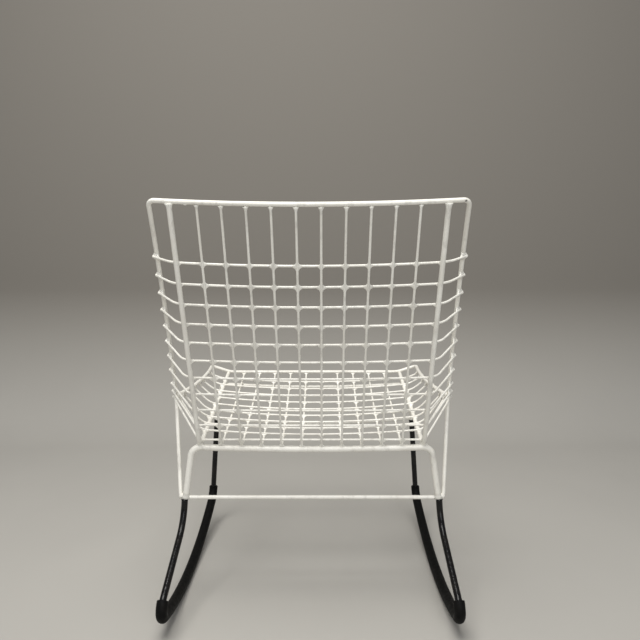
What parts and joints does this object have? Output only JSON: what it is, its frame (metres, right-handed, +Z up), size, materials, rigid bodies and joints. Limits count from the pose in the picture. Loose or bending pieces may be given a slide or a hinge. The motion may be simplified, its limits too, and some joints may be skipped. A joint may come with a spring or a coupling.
{
  "type": "rocking chair",
  "caption": "Wire-grid rocking chair: a folded open shell with raised wings on a bent-rod frame, two outward-leaning rocker rods with plastic sleeves under the runners.",
  "frame": {"origin": "middle of the footprint, on the floor that the runners touch", "axes": "+Z up, -Y the way the sitter faces, +X to the sitter's left"},
  "size_m": [0.5884, 0.5772, 0.7889],
  "materials": {
    "white_paint": "gloss",
    "black_paint": "gloss",
    "sleeve_plastic": "matte"
  },
  "bodies": {
    "root": {"back_rim_rod": "white_paint", "stay_hoop_rod": "white_paint", "front_rim_rod": "white_paint", "rear_arch": "white_paint", "front_arch": "white_paint", "front_stretcher": "white_paint", "side_bar_left": "white_paint", "side_bar_right": "white_paint", "long_wire_01": "white_paint", "long_wire_02": "white_paint", "long_wire_03": "white_paint", "long_wire_04": "white_paint", "long_wire_05": "white_paint", "long_wire_06": "white_paint", "long_wire_07": "white_paint", "long_wire_08": "white_paint", "long_wire_09": "white_paint", "long_wire_10": "white_paint", "back_wire_01": "white_paint", "back_wire_02": "white_paint", "back_wire_03": "white_paint", "back_wire_04": "white_paint", "back_wire_05": "white_paint", "back_wire_06": "white_paint", "back_wire_07": "white_paint", "back_wire_08": "white_paint", "back_wire_09": "white_paint", "back_wire_10": "white_paint", "back_wire_11": "white_paint", "seat_wire_01": "white_paint", "seat_wire_02": "white_paint", "seat_wire_03": "white_paint", "seat_wire_04": "white_paint", "seat_wire_05": "white_paint", "seat_wire_06": "white_paint", "seat_wire_07": "white_paint", "seat_wire_08": "white_paint", "seat_wire_09": "white_paint", "rocker_rod_left": "black_paint", "rocker_sleeve_left": "sleeve_plastic", "rocker_rod_right": "black_paint", "rocker_sleeve_right": "sleeve_plastic"}
  },
  "joints": []
}
